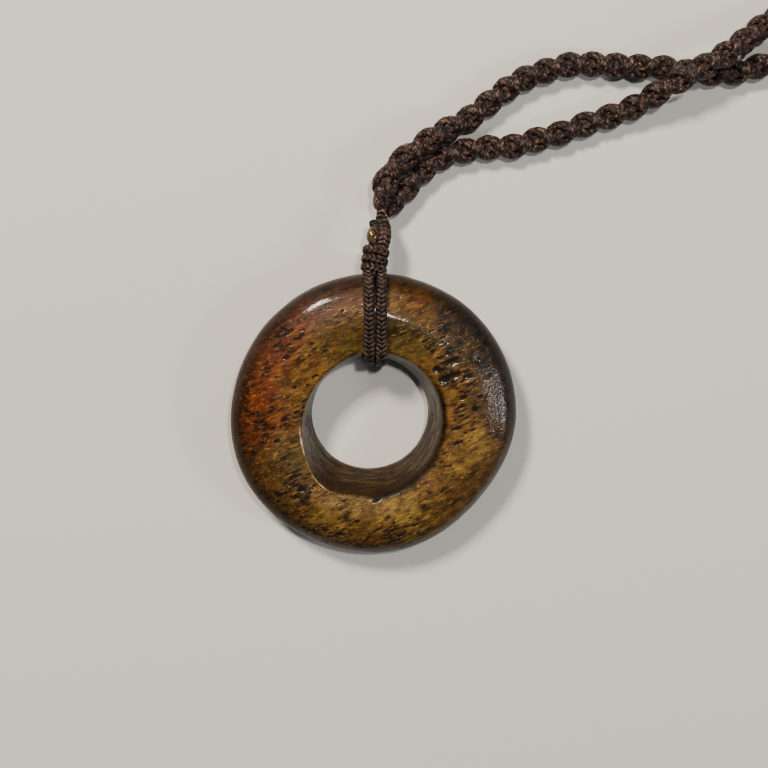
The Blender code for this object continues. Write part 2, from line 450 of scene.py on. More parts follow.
@dataclass(frozen=True)
class Vessel:
    """An open vessel on the ring's front, a long pit that lies along the bone's grain.

    Args:
        x: Its middle to the right of the ring's middle, in millimetres.
        y: Its middle above the ring's middle, in millimetres.
        length: How long it is, in millimetres.
        width: How wide it is, in millimetres.
    """

    x: float
    y: float
    length: float
    width: float

    def depth_at(self, x: float, y: float) -> float:
        """How deep it is at a place on the front.

        Args:
            x: Millimetres to the right of the ring's middle.
            y: Millimetres above the ring's middle.

        Returns:
            The depth in millimetres.
        """
        away = Matrix.Rotation(-GRAIN_ANGLE, 2) @ Vector((x - self.x, y - self.y))
        share = math.hypot(away.x * 2 / self.length, away.y * 2 / self.width)
        return 0.22 * self.width * smooth_step((1.25 - share) / 0.9)


# The bone's grain, anticlockwise from +X
GRAIN_ANGLE = math.radians(24)

# The vessels that are wide enough to be seen as pits
VESSELS = tuple(
    Vessel(*sizes)
    for sizes in (
        (12.4, 9.8, 2.3, 1.25),
        (9.9, 8.5, 1.3, 1.0),
        (11.3, 6.9, 2.2, 1.3),
        (13.1, 7.6, 1.9, 1.1),
        (15.0, 7.3, 1.6, 0.8),
        (16.6, 9.9, 0.9, 0.8),
        (10.5, 10.5, 1.2, 0.55),
        (11.7, 11.2, 1.0, 0.5),
        (9.2, 11.5, 0.6, 0.5),
        (18.3, 7.5, 1.6, 0.6),
        (14.4, 3.8, 1.3, 0.7),
        (17.1, 3.8, 1.0, 0.6),
        (14.1, 2.3, 1.2, 0.6),
        (16.2, 1.8, 0.9, 0.65),
        (13.3, -1.5, 1.6, 0.6),
        (13.6, -3.9, 1.4, 0.5),
        (-12.3, -11.6, 1.5, 0.8),
        (-13.3, -12.9, 1.3, 0.7),
        (-11.5, -13.1, 1.1, 0.6),
        (-15.9, -12.6, 1.4, 0.7),
        (-16.3, -3.4, 1.1, 0.6),
        (-9.9, 7.4, 1.1, 0.45),
        (-13.2, 5.6, 0.7, 0.45),
        (-14.6, 10.6, 1.2, 0.6),
        (-3.1, -17.2, 0.8, 0.55),
        (4.3, -19.7, 1.7, 0.6),
        (-6.4, -19.6, 1.4, 0.6),
        (0.3, -13.6, 1.7, 0.65),
    )
)

# No vessel reaches this many millimetres from its middle
VESSEL_REACH = 2


@dataclass(frozen=True)
class StainedBone:
    """Cattle bone, stained with dye, then tumbled and waxed.

    The dye takes unevenly, so the tone drifts from red-brown to olive and gold. Vessels in the
    bone show as dark dashes along its grain, and the wax gives a clear gloss over them. Fibres,
    vessels and patches are in millimetres, with places from the ring's middle. A bump is a
    strength and a depth.
    """

    name: str = "stained_bone_waxed"
    fibre_width: float = 0.35
    fibre_length: float = 1.3
    vessel_cell: tuple[float, float] = (1.9, 0.62)
    bump: tuple[float, float] = (0.8, 0.14 * MM)
    gloss_bump: tuple[float, float] = (0.22, 0.1 * MM)
    ground: str = "64481f"
    red_fleck: str = "4c2812"
    pale_fibre: str = "a8843e"
    painted_glint_speck: str = "b59a74"
    in_vessel: str = "0e0806"
    hole_shade: str = "160e07"
    wall_streak: str = "514028"
    low_crease_shade: str = "1a0d06"
    crease_shade: str = "0c0503"
    arris_wear_and_highlight: str = "b8a578"
    full_wax: float = 0.44
    rim_wax: float = 0.06
    dull_wax: float = 0.04
    wall_wax: float = 0.6
    pitted: tuple[float, float, float] = (18, 6, 16)
    pitted_depth: float = 7.0
    crowded: tuple[tuple[float, float, float], ...] = (
        (14, 8, 7),
        (15, 0, 5),
        (-13, -11.5, 6),
        (10, 13, 5),
        (-15, 14, 5),
        (4, -20, 6),
        (-18, -1, 5),
        (-8, -20, 5),
    )
    patches: tuple[StainPatch, ...] = tuple(
        StainPatch(*values)
        for values in (
            (-20.5, 3, 10, "5a2409", 0.9),
            (-20, -5, 8, "58280e", 0.75),
            (-16.5, 13, 9, "5c260b", 0.9),
            (-9, 20.5, 8, "52270c", 0.85),
            (-3, 21, 5, "562a12", 0.7),
            (-6, 13.5, 7, "4a3c16", 0.8),
            (5, 14, 6, "3e3616", 0.8),
            (6, 20.5, 4, "683c12", 0.8),
            (-12, 6, 6, "6a4c1e", 0.8),
            (12, 10, 7, "58451c", 0.6),
            (15, 16.5, 9, "2a2320", 0.95),
            (21, 10, 9, "262322", 0.95),
            (22, 2, 8, "2b2624", 0.9),
            (15.5, -5, 6, "78602c", 0.8),
            (11.5, -1, 4, "54391a", 0.6),
            (20, -11, 8, "3d2a14", 0.8),
            (12, -7, 3, "5e421a", 0.8),
            (-6, -12.5, 4, "4c361c", 0.8),
            (-14, 19, 5, "6a2c0c", 0.6),
            (13, -16, 7, "4c3818", 0.7),
            (2, -15.5, 9, "78602c", 0.85),
            (-7, -15, 7, "6a5226", 0.75),
            (-15, -8, 8, "42381c", 0.85),
            (-17, -15, 8, "402b11", 0.85),
            (0, -22, 8, "432811", 0.8),
        )
    )

    def build(self) -> bpy.types.Material:
        """Makes the material.

        Returns:
            The finished material.
        """
        nodes = Nodes.named(self.name)
        place, wrap = nodes.places()
        colour, crowd = self.stain(nodes, place)
        colour, height = self.grain(nodes, place, colour, crowd)
        colour, wax = self.shade_and_wear(nodes, place, wrap, colour)
        # Pits in the gloss on the right, 0.4 mm apart
        grit = nodes.noise(place, Scale=2.2, Detail=2.0, Roughness=0.6)
        pits = self.patch(nodes, place, *self.pitted, self.pitted_depth)
        gloss_height = nodes.maths("MULTIPLY_ADD", grit, pits, height)
        return nodes.finished(
            {
                "Base Color": colour,
                "Roughness": nodes.ramp(height, (-0.2, 0.8), (0.55, 0.3)),
                "IOR": 1.54,
                "Specular IOR Level": 0.1,
                "Coat Weight": wax,
                "Coat Roughness": 0.09,
                "Coat IOR": 1.45,
                "Normal": nodes.bump(height, *self.bump),
                "Coat Normal": nodes.bump(gloss_height, *self.gloss_bump),
            }
        )

    def patch(
        self, nodes: Nodes, place: Value, x: float, y: float, reach: float, strength: float
    ) -> Socket:
        """The strength in a soft round patch, falling to 0 where it ends."""
        away = nodes.measure("DISTANCE", place, (x, y, 0))
        return nodes.ramp(away, (0.25 * reach, reach), (strength, 0.0), soft=True)

    def band(
        self, nodes: Nodes, v: Value, middle: float, half_width: float, full: float
    ) -> Socket:
        """A soft line round the ring.

        Args:
            nodes: The material's nodes.
            v: The place in the ring's section.
            middle: The line's own place in the section.
            half_width: How far the line reaches on each side.
            full: The share of that where it is at its full strength.

        Returns:
            1 on the line, falling to 0 at its edges.
        """
        away = nodes.maths("ABSOLUTE", nodes.maths("SUBTRACT", v, middle))
        return nodes.ramp(away, (full * half_width, half_width), (1.0, 0.0), soft=True)

    def stain(self, nodes: Nodes, place: Value) -> tuple[Socket, Socket]:
        """Lays the dye's tones over each other.

        Args:
            nodes: The material's nodes.
            place: Millimetres from the ring's middle.

        Returns:
            The stain's colour, and how far the vessels crowd, from 0 to 1.
        """
        # The patches' edges wander by a few millimetres
        settings = {"Scale": 0.3, "Detail": 5.0, "Roughness": 0.6}
        drift = nodes.add("TexNoise", {0: place, **settings})
        centred = nodes.vector("SUBTRACT", drift.outputs["Color"], HALF)
        wandered = nodes.vector("MULTIPLY_ADD", centred, (11, 11, 0), place)
        flat = nodes.vector("MULTIPLY", wandered, FLAT)
        colour = linear_colour(self.ground)
        for spot in self.patches:
            cover = self.patch(nodes, flat, spot.x, spot.y, spot.reach, spot.strength)
            colour = nodes.toned(colour, cover, linear_colour(spot.tone))
        flecks = nodes.noise(place, Scale=0.8, Detail=4.0, Roughness=0.6)
        red = nodes.ramp(flecks, (0.5, 0.62), (0.0, 0.6))
        colour = nodes.toned(colour, red, linear_colour(self.red_fleck))
        crowd = nodes.ramp(drift.outputs[0], (0.38, 0.66), (0.0, 0.7))
        for x, y, reach in self.crowded:
            crowd = nodes.maths("MAXIMUM", crowd, self.patch(nodes, flat, x, y, reach, 0.75))
        return colour, crowd

    def grain(
        self, nodes: Nodes, place: Value, colour: Value, crowd: Value
    ) -> tuple[Socket, Socket]:
        """Adds the fibres and vessels that run with the bone's grain, and pale specks of painted
        glint.

        Args:
            nodes: The material's nodes.
            place: Millimetres from the ring's middle.
            colour: The stain's colour.
            crowd: Where the vessels crowd, from 0 to 1.

        Returns:
            The colour with them, and the height of the surface, negative in a vessel.
        """
        along = nodes.mapped(place, Rotation=(0, 0, -GRAIN_ANGLE))
        across_scale = 1 / self.fibre_width
        spread = nodes.mapped(along, Scale=(1 / self.fibre_length, across_scale, across_scale))
        fibre = nodes.noise(spread, Scale=1.0, Detail=4.0, Roughness=0.7, Distortion=0.5)
        # Smudges of dye 2.5 mm long and 1 mm wide, which the fibres break up
        drawn_out = nodes.mapped(along, Scale=(0.4, 0.95, 0.95))
        mottle = nodes.noise(drawn_out, Scale=1.0, Detail=5.0, Roughness=0.62)
        both = nodes.maths("MULTIPLY_ADD", fibre, 0.55, mottle)
        streaked = nodes.ramp(both, (0.62, 0.93), (0.1, 1.12))
        # Where there are few vessels the streaks are calmer
        calm = nodes.ramp(crowd, (0.05, 0.45), (0.4, 0.0))
        colour = nodes.shaded(colour, nodes.between(calm, streaked, 0.72))
        light = nodes.ramp(fibre, (0.57, 0.69), (0.0, 0.4))
        # Painted glints: pale specks 0.2 mm across
        cells = nodes.add("TexVoronoi", {0: place, "Scale": 1.1})
        glint_speck = nodes.ramp(cells.outputs["Distance"], (0.05, 0.14), (0.2, 0.0))
        pit = self.vessels(nodes, place, along, crowd)
        for cover, tone in (
            (light, self.pale_fibre),
            (glint_speck, self.painted_glint_speck),
            (nodes.times(pit, 0.93), self.in_vessel),
        ):
            colour = nodes.toned(colour, cover, linear_colour(tone))
        return colour, nodes.maths("MULTIPLY_ADD", pit, -0.8, fibre)

    def vessels(self, nodes: Nodes, place: Value, along: Value, crowd: Value) -> Socket:
        """Finds the open vessels, the wide ones that the mesh has too and the fine ones between.

        Args:
            nodes: The material's nodes.
            place: Millimetres from the ring's middle.
            along: The same, turned so that X runs along the grain.
            crowd: Where the vessels crowd, from 0 to 1.

        Returns:
            1 in a vessel and 0 outside.
        """
        length, width = self.vessel_cell
        stretched = nodes.mapped(along, Scale=(1 / length, 1 / width, 1 / width))
        frayed = nodes.add("TexNoise", {0: place, "Scale": 2.4, "Detail": 3.0}).outputs["Color"]
        bent = nodes.vector("MULTIPLY_ADD", frayed, (0.5, 0.7, 0.5), stretched)
        cells = nodes.add("TexVoronoi", {0: bent, "Scale": 1.0})
        size = nodes.ramp(crowd, (0.05, 0.75), (-0.02, 0.36))
        outside = nodes.maths("SUBTRACT", cells.outputs["Distance"], size)
        pit = nodes.ramp(outside, (-0.1, 0.1), (1.0, 0.0), soft=True)
        centred = nodes.vector("SUBTRACT", frayed, HALF)
        ragged = nodes.vector("MULTIPLY_ADD", centred, (0.9, 0.9, 0.0), place)
        for vessel in VESSELS:
            inside = nodes.add(
                "Mapping",
                {
                    0: ragged,
                    "Location": (vessel.x, vessel.y, FRONT_HEIGHT),
                    "Rotation": (0, 0, GRAIN_ANGLE),
                    "Scale": (vessel.length / 2, vessel.width / 2, 4.0),
                },
                vector_type="TEXTURE",
            )
            away = nodes.measure("LENGTH", inside.outputs[0])
            deep = nodes.ramp(away, (0.9, 1.4), (0.97, 0.0), soft=True)
            pit = nodes.maths("MAXIMUM", pit, deep)
        return pit

    def shade_and_wear(
        self, nodes: Nodes, place: Value, wrap: Value, colour: Value
    ) -> tuple[Socket, Socket]:
        """Paints shade on the rim, in the hole and in the turn into it, and a pale line along the
        arris below left that is partly bared bone and partly a painted highlight.

        Args:
            nodes: The material's nodes.
            place: Millimetres from the ring's middle.
            wrap: The ring's UV map, whose V counts the points of its section.
            colour: The stain's colour.

        Returns:
            The colour with the painted shade and the arris line, and how much wax is left.
        """
        from_axis = nodes.measure("LENGTH", nodes.vector("MULTIPLY", place, FLAT))
        # Painted shade: the rim darkens to a fifth towards its outer edge, where it turns away from
        # the light
        colour = nodes.shaded(colour, nodes.ramp(from_axis, (19.2, 23.6), (1.0, 0.2), soft=True))
        v = nodes.axes(wrap)[1]
        x, y, _ = nodes.axes(place)
        # Painted shade: the hole's wall is laid over at nine tenths with a dark tone
        in_hole = nodes.ramp(v, (MOUTH_ARC[1] - 3, MOUTH_ARC[1] + 10), (0.0, 0.9), soft=True)
        wall = nodes.times(in_hole, nodes.ramp(v, BACK_ARC, (1.0, 0.0)))
        # Rubbing has left streaks round the wall, pale ones and ones with wax
        round_wall = nodes.joined(nodes.times(x, 0.3), nodes.times(y, 0.3), nodes.times(v, 0.8))
        streaks = nodes.noise(round_wall, Scale=1.0, Detail=4.0, Roughness=0.65)
        pale = nodes.times(nodes.ramp(streaks, (0.46, 0.66), (0.0, 0.6)), wall)
        # Painted shade lies deeper in the hole below, where the turn is long
        low_crease = self.band(nodes, v, MOUTH_ARC[1] + 3, 8.0, 0.4)
        low_shade = nodes.times(low_crease, nodes.ramp(y, (-7.0, -10.0), (0.0, 0.8)))
        # Painted shade darkens the turn into the hole on the right and below, where the wax is dull
        # too
        to_lower_right = nodes.measure("DOT_PRODUCT", place, (0.8, -0.45, 0.0))
        crease = nodes.times(
            self.band(nodes, v, MOUTH_ARC[1] - 2, 8.0, 0.35),
            nodes.ramp(to_lower_right, (2.0, 7.0), (0.0, 0.85)),
        )
        # Below left the turn is an arris; its pale line is partly bared bone, partly painted
        # highlight
        lower_left_arris = nodes.times(
            nodes.ramp(x, (-7.6, -9.0), (0.0, 0.8)), nodes.ramp(y, (-1.5, -3.5), (0.0, 1.0))
        )
        arris = nodes.times(self.band(nodes, v, sum(MOUTH_ARC) / 2, 3.4, 0.4), lower_left_arris)
        chips = nodes.noise(place, Scale=0.9, Detail=3.0)
        arris = nodes.times(arris, nodes.ramp(chips, (0.42, 0.58), (0.15, 1.0)))
        for cover, tone in (
            (wall, self.hole_shade),
            (pale, self.wall_streak),
            (low_shade, self.low_crease_shade),
            (crease, self.crease_shade),
            (arris, self.arris_wear_and_highlight),
        ):
            colour = nodes.toned(colour, cover, linear_colour(tone))
        # The lip below and left of the hole's lowest point is dull
        dull = self.band(nodes, v, MOUTH_ARC[0] + 2, 10.0, 0.7)
        dull = nodes.times(dull, nodes.ramp(x, (-0.6, -1.8)))
        dull = nodes.times(dull, nodes.ramp(y, (-8.5, -10.0)))
        dull = nodes.maths("MAXIMUM", crease, dull)
        outside = nodes.ramp(from_axis, (22.0, 23.1), (self.full_wax, self.rim_wax))
        outside = nodes.ramp(dull, (0.0, 0.6), (outside, self.dull_wax))
        inside = nodes.ramp(streaks, (0.42, 0.6), (0.0, self.wall_wax))
        return colour, nodes.between(wall, outside, inside)


class Stitch(Enum):
    """How far the mesh shows a braided cord's yarns."""

    MODELLED = "each yarn is a tube"
    DRAWN = "the cord is a tube, and its yarns are drawn on it"


@dataclass(frozen=True)
class BraidedNylon:
    """Brown nylon yarn, braided from eight bundles into a cord.

    Filaments lie side by side along each bundle. Painted glints, some of them reddish or golden,
    light the colour where one crests, and painted shade makes the gaps between bundles nearly
    black.
    """

    name: str
    stitch: Stitch
    ground: str = "1c100f"
    lit: str = "7d5c54"
    golden: str = "7a6044"
    glint_range: tuple[float, float] = (0.28, 0.38)
    bump: tuple[float, float] = (0.7, 0.16 * MM)

    def build(self) -> bpy.types.Material:
        """Makes the material.

        Returns:
            The finished material.
        """
        nodes = Nodes.named(self.name)
        place, wrap = nodes.places()
        draw = self.yarn if self.stitch is Stitch.MODELLED else self.herringbone
        along, across, crest = draw(nodes, *nodes.axes(wrap)[:2])
        filaments = nodes.noise(nodes.joined(across, along, 0.0), Scale=1.0, Detail=2.0)
        # The painted glints come and go every 0.6 mm
        fade = nodes.noise(place, Scale=1.6, Detail=3.0)
        glint = nodes.times(filaments, fade)
        # Painted glints: a lighter reddish or golden colour laid over the ground where filaments
        # crest
        glint_colour = nodes.toned(
            linear_colour(self.lit), nodes.ramp(fade, (0.62, 0.68)), linear_colour(self.golden)
        )
        lift = nodes.ramp(glint, self.glint_range)
        colour = nodes.toned(linear_colour(self.ground), lift, glint_colour)
        # Painted shade: the flanks and the gaps between yarns darken to an eighth of the colour
        colour = nodes.shaded(colour, nodes.ramp(crest, (0.0, 0.45), (0.12, 1.0)))
        height = nodes.maths("MULTIPLY_ADD", filaments, 0.3, crest)
        return nodes.finished(
            {
                "Base Color": colour,
                "Roughness": 0.5,
                "IOR": 1.53,
                "Specular IOR Level": 0.2,
                "Sheen Weight": 0.02,
                "Sheen Roughness": 0.4,
                "Normal": nodes.bump(height, *self.bump),
            }
        )

    def yarn(self, nodes: Nodes, girth: Value, length: Value) -> tuple[Socket, Socket, Socket]:
        """Filament lines along a yarn that the mesh shows, 0.3 mm wide and 0.6 mm long.

        Args:
            nodes: The material's nodes.
            girth: The share of the yarn's girth.
            length: Millimetres along the cord.

        Returns:
            Places along and across for the filaments, and the crest's height.
        """
        along = nodes.times(length, 1.6)
        across = nodes.times(girth, 6.0)
        # Full on the yarn's outer side and 0 at its flanks, where painted shade lies
        outwards = nodes.maths("SINE", nodes.times(girth, math.tau))
        return along, across, nodes.ramp(outwards, (0.45, 1.0), (0.0, 0.45))

    def herringbone(
        self, nodes: Nodes, girth: Value, length: Value
    ) -> tuple[Socket, Socket, Socket]:
        """Draws the yarns of a braided cord as slanting stitches in columns.

        The filament lines in them are 0.1 mm wide and 0.25 mm long.

        Args:
            nodes: The material's nodes.
            girth: The share of the cord's girth.
            length: Millimetres along the cord.

        Returns:
            Places along and across for the filaments, and the crest's height.
        """
        spread = nodes.times(girth, float(STITCH_COLUMNS))
        within = nodes.maths("FRACT", spread)
        # A triangle wave leans the stitches one way in a column and the other way in the next
        lean = nodes.maths("PINGPONG", spread, 1.0)
        row = nodes.maths("MULTIPLY_ADD", length, MM / STITCH_PITCH, lean)
        stitch = nodes.maths("FRACT", row)
        ridge, swell = (
            nodes.maths("SINE", nodes.times(share, math.pi)) for share in (stitch, within)
        )
        return nodes.times(spread, 3.6), nodes.times(row, 7.0), nodes.times(ridge, swell)


@dataclass(frozen=True)
class MeltedNylon:
    """A cord end melted with a flame: it sets to a smooth amber bead with a hard gloss."""

    name: str = "melted_nylon_amber"
    amber: str = "4d3617"
    soot: str = "150d08"

    def build(self) -> bpy.types.Material:
        """Makes the material.

        Returns:
            The finished material.
        """
        nodes = Nodes.named(self.name)
        place, _ = nodes.places()
        # Burnt streaks about 0.6 mm apart
        burnt = nodes.ramp(nodes.noise(place, Scale=1.6, Detail=3.0), (0.4, 0.62))
        amber, soot = linear_colour(self.amber), linear_colour(self.soot)
        return nodes.finished(
            {
                "Base Color": nodes.toned(amber, burnt, soot),
                "Roughness": 0.2,
                "IOR": 1.53,
                "Coat Weight": 0.5,
                "Coat Roughness": 0.05,
            }
        )


@dataclass(frozen=True)
class PaleFloor:
    """A sheet of matt off-white card under the part."""

    name: str = "matt_card_off_white"

    def build(self) -> bpy.types.Material:
        """Makes the material.

        Returns:
            The finished material.
        """
        material = bpy.data.materials.new(self.name)
        material.use_nodes = True
        shader = material.node_tree.nodes["Principled BSDF"]
        shader.inputs["Base Color"].default_value = linear_colour("babab8")
        shader.inputs["Roughness"].default_value = 0.75
        return material


@dataclass(frozen=True)
class SoftLight:
    """A square soft light that faces the part.

    Args:
        name: Its name.
        place: Where it hangs.
        size: The side of its square.
        power: Its power in watts.
        tint: Its sRGB colour.
    """

    name: str
    place: tuple[float, float, float]
    size: float
    power: float
    tint: str

    def hang(self, target: Vector) -> None:
        """Adds the light to the scene.

        Args:
            target: What it faces.
        """
        data = bpy.data.lights.new(self.name, "AREA")
        data.shape = "SQUARE"
        data.size = self.size
        data.energy = self.power
        data.color = linear_colour(self.tint)[:3]
        light = bpy.data.objects.new(self.name, data)
        light.location = self.place
        light.rotation_euler = (target - light.location).to_track_quat("-Z", "Y").to_euler()
        bpy.context.scene.collection.objects.link(light)


@dataclass
class Studio:
    """Camera, floor and soft lights.

    The camera looks down at the ring as the photograph looks at it.
    """

    camera_place: tuple[float, float, float] = (-9.28 * MM, 51.61 * MM, 301.09 * MM)
    camera_look: tuple[float, float, float] = (0.03599, -0.15461, -0.98732)
    lens: float = 84.375
    sensor_width: float = 36.0
    floor_size: float = 1.6
    floor_drop: float = 0.02 * MM
    lit_place: tuple[float, float, float] = (5 * MM, 10 * MM, 4 * MM)
    lights: tuple[SoftLight, ...] = (
        SoftLight("upper_left_window", (-0.29, 0.452, 0.585), 0.125, 10.6, "fff0da"),
        SoftLight("small_ceiling_lamp", (0.106, 0.268, 0.87), 0.055, 5.2, "fff6ea"),
        SoftLight("right_side_panel", (0.6, -0.12, 0.45), 0.14, 2.4, "f1eeea"),
    )
    air_tint: str = "dfe3ea"
    air_strength: float = 0.11

    def build(self) -> None:
        """Makes the camera, the floor, the lights and the room's own light."""
        self.add_camera()
        self.add_floor()
        for light in self.lights:
            light.hang(Vector(self.lit_place))
        world = bpy.data.worlds.new("studio_air")
        world.use_nodes = True
        air = world.node_tree.nodes["Background"]
        air.inputs["Color"].default_value = linear_colour(self.air_tint)
        air.inputs["Strength"].default_value = self.air_strength
        bpy.context.scene.world = world

    def add_camera(self) -> None:
        """Puts the camera where the photograph was taken from."""
        data = bpy.data.cameras.new("photograph_camera")
        data.lens = self.lens
        data.sensor_width = self.sensor_width
        data.clip_start = 0.01
        camera = bpy.data.objects.new("photograph_camera", data)
        back = -Vector(self.camera_look).normalized()
        across = Vector((0, 1, 0)).cross(back).normalized()
        up = back.cross(across)
        camera.matrix_world = Matrix.Translation(self.camera_place) @ (
            Matrix((across, up, back)).transposed().to_4x4()
        )
        bpy.context.scene.collection.objects.link(camera)
        bpy.context.scene.camera = camera

    def add_floor(self) -> None:
        """Lays the pale floor just under the part."""
        shape = bmesh.new()
        bmesh.ops.create_grid(
            shape,
            x_segments=1,
            y_segments=1,
            size=self.floor_size / 2,
            matrix=Matrix.Translation((0, 0, -self.floor_drop)),
        )
        mesh = bpy.data.meshes.new("floor")
        shape.to_mesh(mesh)
        shape.free()
        mesh.materials.append(PaleFloor().build())
        floor = bpy.data.objects.new("floor", mesh)
        bpy.context.scene.collection.objects.link(floor)


@dataclass(frozen=True)
class Bump:
    """A swelling of one of the ring's sizes at one side.

    Args:
        angle: Its middle, anticlockwise from +X.
        before: How far it spreads clockwise.
        after: How far it spreads anticlockwise.
        height: How much it adds at its middle.
    """

    angle: float
    before: float
    after: float
    height: float

    def at(self, angle: float) -> float:
        """How much it adds at an angle."""
        away = math.remainder(angle - self.angle, math.tau)
        spread = self.after if away > 0 else self.before
        return self.height * math.exp(-((away / spread) ** 2))


def degrees(angle: float, before: float, after: float, height: float) -> Bump:
    """A swelling given in degrees and millimetres."""
    return Bump(math.radians(angle), math.radians(before), math.radians(after), height * MM)


@dataclass
class BoneRing:
    """The ring: turned from bone, then shaped and rubbed by hand."""

    radius: float = 23.7 * MM
    thickness: float = 9.2 * MM
    crest_radius: float = 17.2 * MM
    rim_drop: float = 2.2 * MM
    rim_round_front: float = 4.0 * MM
    rim_round_back: float = 3.2 * MM
    crest_round: float = 10.0 * MM
    mouth_radius: float = 12.0 * MM
    mouth_drop: float = 0.7 * MM
    mouth_round: float = 1.2 * MM
    waist_radius: float = 9.6 * MM
    waist_height: float = 1.8 * MM
    waist_round: float = 2.0 * MM
    back_hole_radius: float = 10.4 * MM
    back_hole_round: float = 0.6 * MM
    hole_shift: float = -0.8 * MM
    steps: int = 480
    wave: float = 0.09 * MM
    # Vessels open only on what is higher than this over mid-thickness
    pitted_from: float = 0.5 * MM
    rim_bumps: tuple[Bump, ...] = (degrees(-40, 28, 28, -1.0), degrees(205, 30, 30, 0.6))
    mouth_bumps: tuple[Bump, ...] = (
        degrees(236, 26, 22, 1.75),
        degrees(281, 22, 34, 1.15),
        degrees(140, 60, 50, -1.25),
    )
    crest_bumps: tuple[Bump, ...] = (degrees(76, 18, 13, -6.0),)
    edge_bumps: tuple[Bump, ...] = (degrees(218, 26, 24, -1.08),)
    slope_bumps: tuple[Bump, ...] = (degrees(55, 45, 22, 0.7),)

    def corners(self, angle: float) -> tuple[tuple[float, float, float], ...]:
        """The section's corners at one side of the ring.

        Args:
            angle: Which side, anticlockwise from +X.

        Returns:
            For each corner, its distance from the axis, height above mid-thickness and rounding.
        """
        half = self.thickness / 2
        mouth = self.mouth_radius + sum(b.at(angle) for b in self.mouth_bumps)
        edge = self.mouth_round + sum(b.at(angle) for b in self.edge_bumps)
        slope = sum(b.at(angle) for b in self.slope_bumps)
        crest = self.crest_round + sum(b.at(angle) for b in self.crest_bumps)
        return (
            (self.radius, -half, self.rim_round_back),
            (self.radius, half - self.rim_drop - slope, self.rim_round_front),
            (self.crest_radius, half, crest),
            (mouth, half - self.mouth_drop, edge),
            (self.waist_radius, self.waist_height - half, self.waist_round),
            (self.back_hole_radius, -half, self.back_hole_round),
        )

    def section(self, angle: float, arcs: Sequence[int]) -> list[tuple[Vector, Vector]]:
        """The section's outline at one side of the ring.

        Args:
            angle: Which side, anticlockwise from +X.
            arcs: The number of steps round each corner.

        Returns:
            Points (distance from the axis, height) with their outward normals.
        """
        corners = self.corners(angle)
        outline = []
        for i, (x, y, rounding) in enumerate(corners):
            here = Vector((x, y))
            to_last = Vector(corners[i - 1][:2]) - here
            to_next = Vector(corners[(i + 1) % len(corners)][:2]) - here
            turn = math.pi - to_last.angle(to_next)
            tangent = min(
                rounding * math.tan(turn / 2), 0.45 * min(to_last.length, to_next.length)
            )
            rounding = tangent / math.tan(turn / 2)
            inward = (to_last.normalized() + to_next.normalized()).normalized()
            centre = here + inward * rounding / math.cos(turn / 2)
            start = (here + to_last.normalized() * tangent - centre).normalized()
            sense = 1 if to_last.cross(to_next) < 0 else -1
            for step in range(arcs[i] + 1):
                normal = Matrix.Rotation(sense * turn * step / arcs[i], 2) @ start
                outline.append((centre + normal * rounding, normal))
        return outline

    def filled_section(self, angle: float) -> list[tuple[Vector, Vector]]:
        """The section's outline with points along its straight sides too.

        Args:
            angle: Which side, anticlockwise from +X.

        Returns:
            Points (distance from the axis, height) with their outward normals.
        """
        corners = self.section(angle, ARC_STEPS)
        filled = []
        n = 0
        for arc, side in zip(ARC_STEPS, SIDE_STEPS):
            filled += corners[n : n + arc + 1]
            n += arc + 1
            (start, first), (end, second) = corners[n - 1], corners[n % len(corners)]
            for step in range(1, side):
                share = step / side
                filled.append((start.lerp(end, share), first.lerp(second, share).normalized()))
        return filled

    def build(self, finish: bpy.types.Material) -> bpy.types.Object:
        """Makes the ring.

        Args:
            finish: The bone's material.

        Returns:
            The finished piece.
        """
        shape = bmesh.new()
        place = shape.verts.layers.int.new("place_in_section")
        first = self.filled_section(0.0)
        verts = [shape.verts.new((p.x, 0, p.y)) for p, _ in first]
        for n, vert in enumerate(verts):
            vert[place] = n
        edges = [shape.edges.new(pair) for pair in zip(verts, verts[1:] + verts[:1])]
        bmesh.ops.spin(
            shape,
            geom=verts + edges,
            cent=(0, 0, 0),
            axis=(0, 0, 1),
            angle=math.tau,
            steps=self.steps,
            use_merge=True,
        )
        sections = [
            self.filled_section(math.tau * step / self.steps) for step in range(self.steps)
        ]
        for vert in shape.verts:
            step = round(math.atan2(vert.co.y, vert.co.x) / math.tau * self.steps) % self.steps
            vert.co = self.shaped(math.tau * step / self.steps, *sections[step][vert[place]])
            x, y, _ = vert.co / MM
            if vert.co.z > self.pitted_from:
                vert.co.z -= MM * sum(
                    vessel.depth_at(x, y)
                    for vessel in VESSELS
                    if max(abs(x - vessel.x), abs(y - vessel.y)) < VESSEL_REACH
                )
        self.map_section(shape, place)
        bmesh.ops.recalc_face_normals(shape, faces=shape.faces)
        bmesh.ops.transform(shape, matrix=ring_place(), verts=shape.verts)
        return finish_piece("bone_ring_carved", shape, finish, ("bone_ring",))

    def map_section(
        self, shape: bmesh.types.BMesh, place: bmesh.types.BMLayerItem
    ) -> None:
        """Gives the ring its UV map: U is the share round it, V the point of its section.

        Args:
            shape: The ring's mesh.
            place: The layer that holds each vertex's point in the section.
        """
        count = sum(ARC_STEPS) + sum(SIDE_STEPS)
        layer = shape.loops.layers.uv.new("round_and_section")
        for face in shape.faces:
            middle = face.calc_center_median()
            round_share = math.atan2(middle.y, middle.x) / math.tau
            places = [loop.vert[place] for loop in face.loops]
            for loop, v in zip(face.loops, places):
                own = math.atan2(loop.vert.co.y, loop.vert.co.x) / math.tau
                if v == 0 and max(places) > 1:
                    v = count
                loop[layer].uv = (round_share + math.remainder(own - round_share, 1.0), v)

